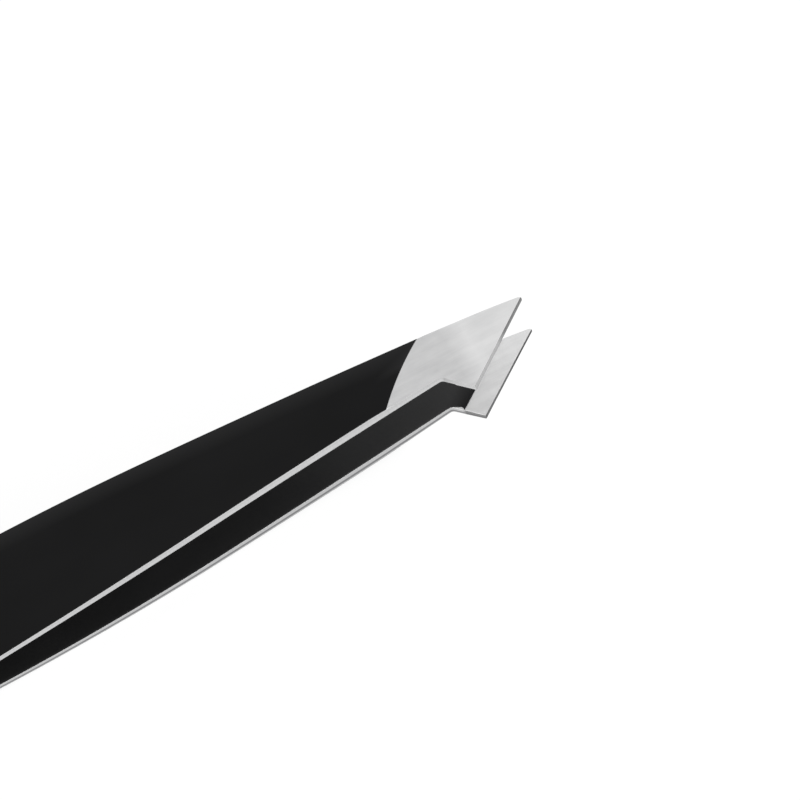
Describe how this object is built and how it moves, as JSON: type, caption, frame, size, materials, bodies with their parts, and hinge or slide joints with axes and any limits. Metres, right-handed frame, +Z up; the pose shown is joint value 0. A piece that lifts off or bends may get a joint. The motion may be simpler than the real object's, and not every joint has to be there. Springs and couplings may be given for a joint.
{
  "type": "slant tweezers",
  "caption": "Slant tweezers with bowed sprung steel arms, welded at the tail, black enamel faces, bare edges and hollow-ground slanted tips.",
  "frame": {"origin": "on the table top, below the middle of the tool's bounding box, with the tool lying on its lower arm", "axes": "+X from the tail towards the tips, +Y towards the side of the sharp corners, +Z up from the lower arm to the upper arm"},
  "size_m": [0.095, 0.01, 0.0082],
  "materials": {
    "steel": "fine grain along the tool, bright on the edges",
    "enamel": "smooth satin black",
    "weld": "cast, dull"
  },
  "bodies": {
    "tail": {"upper_arm_tail": "steel", "lower_arm_tail": "steel", "upper_tail_enamel": "enamel", "lower_tail_enamel": "enamel", "upper_tail_inner_enamel": "enamel", "lower_tail_inner_enamel": "enamel", "weld_nuggets": "weld"},
    "upper_arm": {"upper_arm": "steel", "upper_outer_enamel": "enamel", "upper_inner_enamel": "enamel"},
    "lower_arm": {"lower_arm": "steel", "lower_outer_enamel": "enamel", "lower_inner_enamel": "enamel"}
  },
  "joints": [
    {"name": "upper_arm_flex", "type": "hinge", "parent": "tail", "child": "upper_arm", "pos_m": [-0.02057, 0, 0.00266], "axis": [0, 1, 0], "range_deg": [0, 2.24], "stiffness_Nm_per_rad": 1.4},
    {"name": "lower_arm_flex", "type": "hinge", "parent": "tail", "child": "lower_arm", "pos_m": [-0.0205, 0, 0.00117], "axis": [0, -1, 0], "range_deg": [0, 2.24], "stiffness_Nm_per_rad": 1.4}
  ]
}
